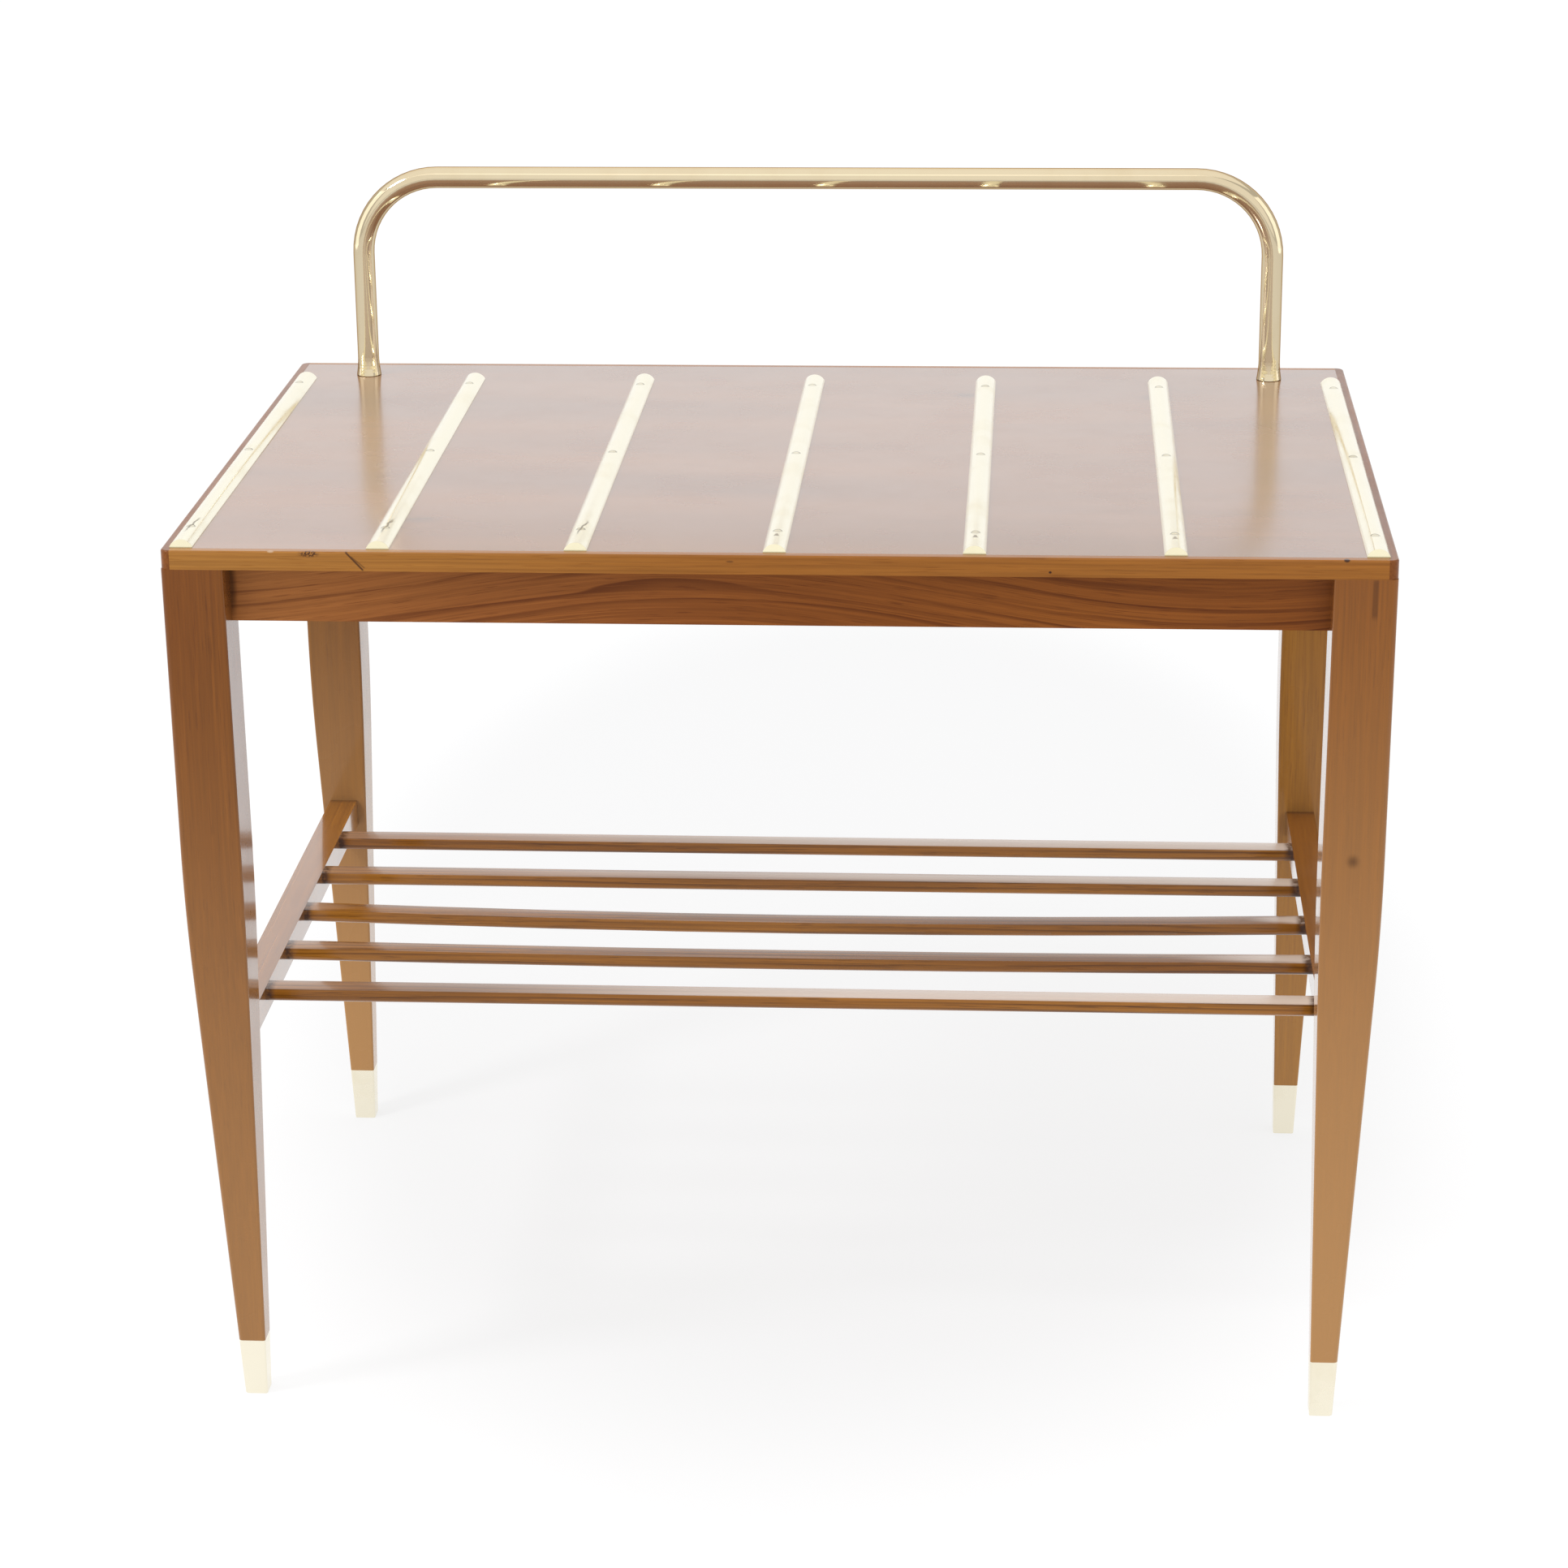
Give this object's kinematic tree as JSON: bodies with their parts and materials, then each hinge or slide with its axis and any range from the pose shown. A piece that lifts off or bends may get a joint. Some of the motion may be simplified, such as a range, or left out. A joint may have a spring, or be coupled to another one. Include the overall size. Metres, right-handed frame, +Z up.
{
  "type": "luggage rack",
  "caption": "Low walnut luggage rack with brass strips across its top, a bent brass rail along the rear, tapered legs with brass foot caps and a slatted shelf.",
  "frame": {"origin": "on the floor under the middle of the top", "axes": "+X along the width to the right as seen from the front, +Y from the front to the rail at the rear, +Z up"},
  "size_m": [0.75, 0.5, 0.7315],
  "materials": {
    "core_board": "plain sanded board",
    "top_walnut": "high gloss lacquer",
    "lipping_walnut": "gloss lacquer",
    "apron_walnut": "satin lacquer",
    "leg_walnut": "satin lacquer",
    "stretcher_walnut": "satin lacquer",
    "slat_walnut": "satin lacquer",
    "strip_brass": "polished",
    "screw_brass": "polished, slightly dulled",
    "rail_brass": "mirror polished",
    "sabot_brass": "polished",
    "steel": "zinc plated",
    "pale_beech": "plain sanded"
  },
  "bodies": {
    "root": {"top_board": "core_board", "top_veneer": "top_walnut", "front_lipping": "lipping_walnut", "rear_lipping": "lipping_walnut", "left_lipping": "lipping_walnut", "right_lipping": "lipping_walnut", "brass_strip_1": "strip_brass", "brass_strip_2": "strip_brass", "brass_strip_3": "strip_brass", "brass_strip_4": "strip_brass", "brass_strip_5": "strip_brass", "brass_strip_6": "strip_brass", "brass_strip_7": "strip_brass", "strip_screws": "screw_brass", "rail_tube": "rail_brass", "rail_plugs": "screw_brass", "rail_screws": "steel", "rail_washers": "steel", "front_apron": "apron_walnut", "rear_apron": "apron_walnut", "left_apron": "apron_walnut", "right_apron": "apron_walnut", "apron_dowels": "pale_beech", "front_left_leg": "leg_walnut", "front_right_leg": "leg_walnut", "rear_left_leg": "leg_walnut", "rear_right_leg": "leg_walnut", "front_left_sabot": "sabot_brass", "front_right_sabot": "sabot_brass", "rear_left_sabot": "sabot_brass", "rear_right_sabot": "sabot_brass", "sabot_pins": "screw_brass", "left_stretcher": "stretcher_walnut", "right_stretcher": "stretcher_walnut", "stretcher_dowels": "pale_beech", "shelf_slat_1": "slat_walnut", "shelf_slat_2": "slat_walnut", "shelf_slat_3": "slat_walnut", "shelf_slat_4": "slat_walnut", "shelf_slat_5": "slat_walnut", "front_left_corner_block": "pale_beech", "front_right_corner_block": "pale_beech", "rear_left_corner_block": "pale_beech", "rear_right_corner_block": "pale_beech", "top_screws": "steel"}
  },
  "joints": []
}
